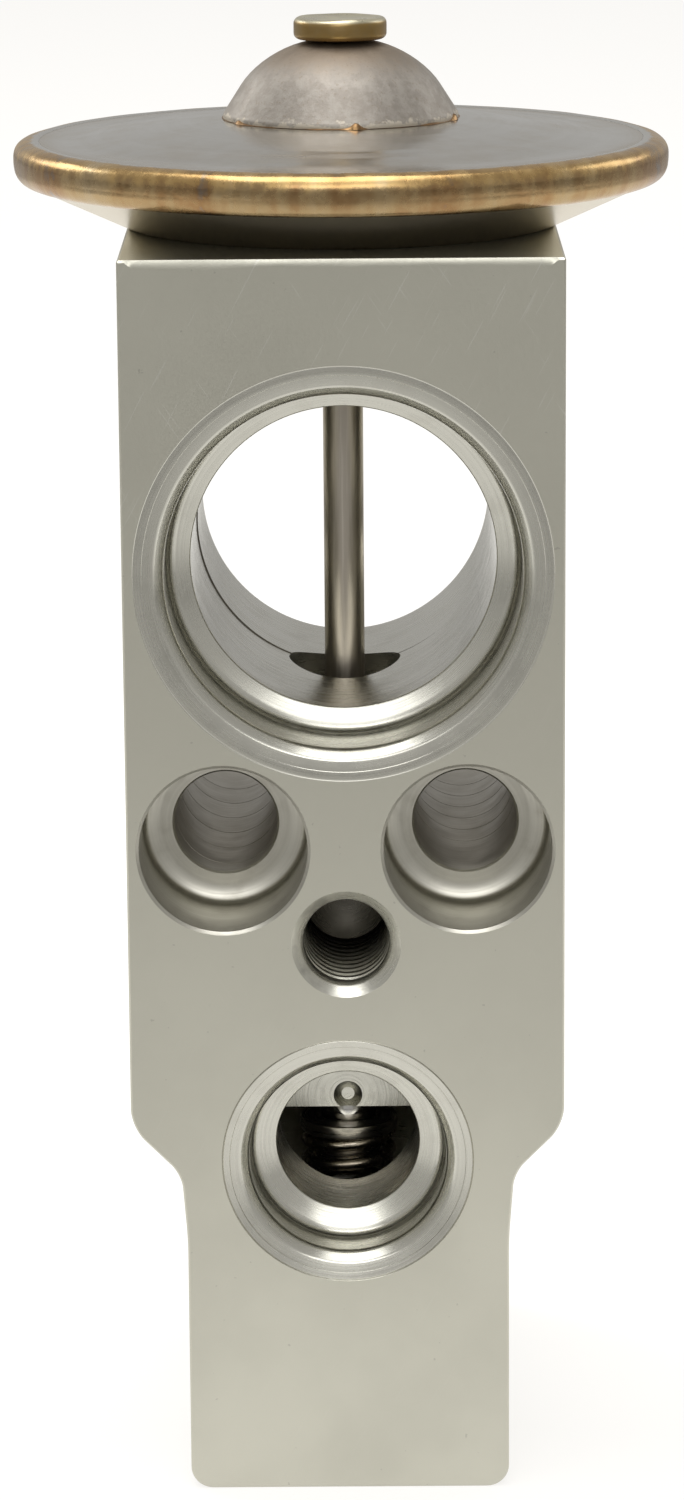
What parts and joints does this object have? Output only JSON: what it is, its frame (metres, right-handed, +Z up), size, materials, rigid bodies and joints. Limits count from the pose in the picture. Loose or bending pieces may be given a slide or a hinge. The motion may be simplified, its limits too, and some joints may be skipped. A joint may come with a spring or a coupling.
{
  "type": "thermostatic expansion valve",
  "caption": "Block type thermostatic expansion valve: drilled aluminium block with pipe ports, a dished power head, push rod, ball seat, spring and adjusting screw.",
  "frame": {"origin": "middle of the foot's underside, on the axis of the rod and the head", "axes": "+Z up along the rod, -Y out of the front face with the counterbored bolt holes, +X to the right seen from the front"},
  "size_m": [0.0444, 0.0444, 0.0979],
  "materials": {
    "block": "satin",
    "lower_shell": "satin with heat tint on the rim",
    "upper_shell": "polished",
    "boss": "dull",
    "plug": "dull with heat tint",
    "sheet": "polished",
    "hub": "turned",
    "plate": "turned",
    "rod": "ground",
    "washer": "pressed",
    "ball": "polished",
    "carrier": "turned",
    "spring": "drawn wire",
    "screw": "turned",
    "seal": "matt"
  },
  "bodies": {
    "valve": {"valve_body": "block", "head_lower_cover": "lower_shell", "head_upper_cover": "upper_shell", "charge_boss": "boss", "charge_plug": "plug", "diaphragm": "sheet", "head_hub": "hub", "head_seal_ring": "seal", "rod_seal_ring": "seal", "rod_seal_retainer": "washer", "superheat_spring": "spring"},
    "rod": {"operating_rod": "rod", "thrust_plate": "plate"},
    "ball": {"valve_ball": "ball", "ball_carrier": "carrier"},
    "screw_ring": {"screw_seal_ring": "seal"},
    "screw": {"adjusting_screw": "screw"}
  },
  "joints": [
    {"name": "rod_slide", "type": "slide", "parent": "valve", "child": "rod", "axis": [0, 0, -1], "range_m": [0, 0.0007], "stiffness_N_per_m": 3000, "springref_m": -0.002, "deforming": ["diaphragm"]},
    {"name": "ball_slide", "type": "slide", "parent": "valve", "child": "ball", "axis": [0, 0, -1], "range_m": [0, 0.0007], "stiffness_N_per_m": 3000, "springref_m": -0.002, "deforming": ["superheat_spring"]},
    {"name": "screw_travel", "type": "slide", "parent": "valve", "child": "screw_ring", "axis": [0, 0, 1], "range_m": [-0.0008, 0.001], "deforming": ["superheat_spring"]},
    {"name": "screw_turn", "type": "hinge", "parent": "screw_ring", "child": "screw", "pos_m": [0, 0, 0.007], "axis": [0, 0, 1], "range_deg": [-280, 355]}
  ],
  "couplings": [
    {"joint": "ball_slide", "follows": "rod_slide", "ratio": 1},
    {"joint": "screw_travel", "follows": "screw_turn", "m_per_rad": 0.00015915}
  ]
}
